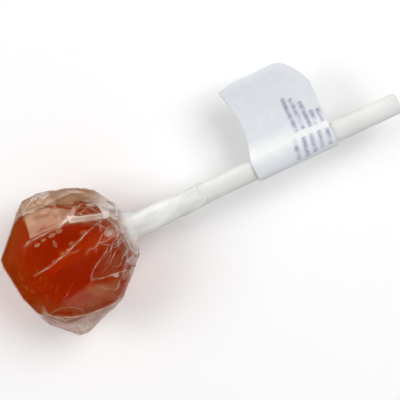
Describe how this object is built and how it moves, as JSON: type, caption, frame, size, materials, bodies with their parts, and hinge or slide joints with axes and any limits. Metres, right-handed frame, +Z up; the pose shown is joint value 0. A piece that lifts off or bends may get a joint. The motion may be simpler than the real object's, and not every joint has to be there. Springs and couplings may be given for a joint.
{
  "type": "maple lollipop",
  "caption": "Faceted amber maple lollipop on a rolled paper stick, twisted into clear film, with a folded paper label round the stick.",
  "frame": {"origin": "middle of the overall box, on the plane that the part rests on", "axes": "+X along the stick from the candy to its free end, +Z up with the shown side up, the label's flag towards +Y"},
  "size_m": [0.0892, 0.0346, 0.025],
  "materials": {
    "hard_candy": "gloss",
    "rolled_paper": "matte",
    "clear_film": "gloss",
    "label_paper": "matte"
  },
  "bodies": {
    "root": {"candy": "hard_candy", "stick": "rolled_paper", "wrapper": "clear_film", "label": "label_paper"}
  },
  "joints": []
}
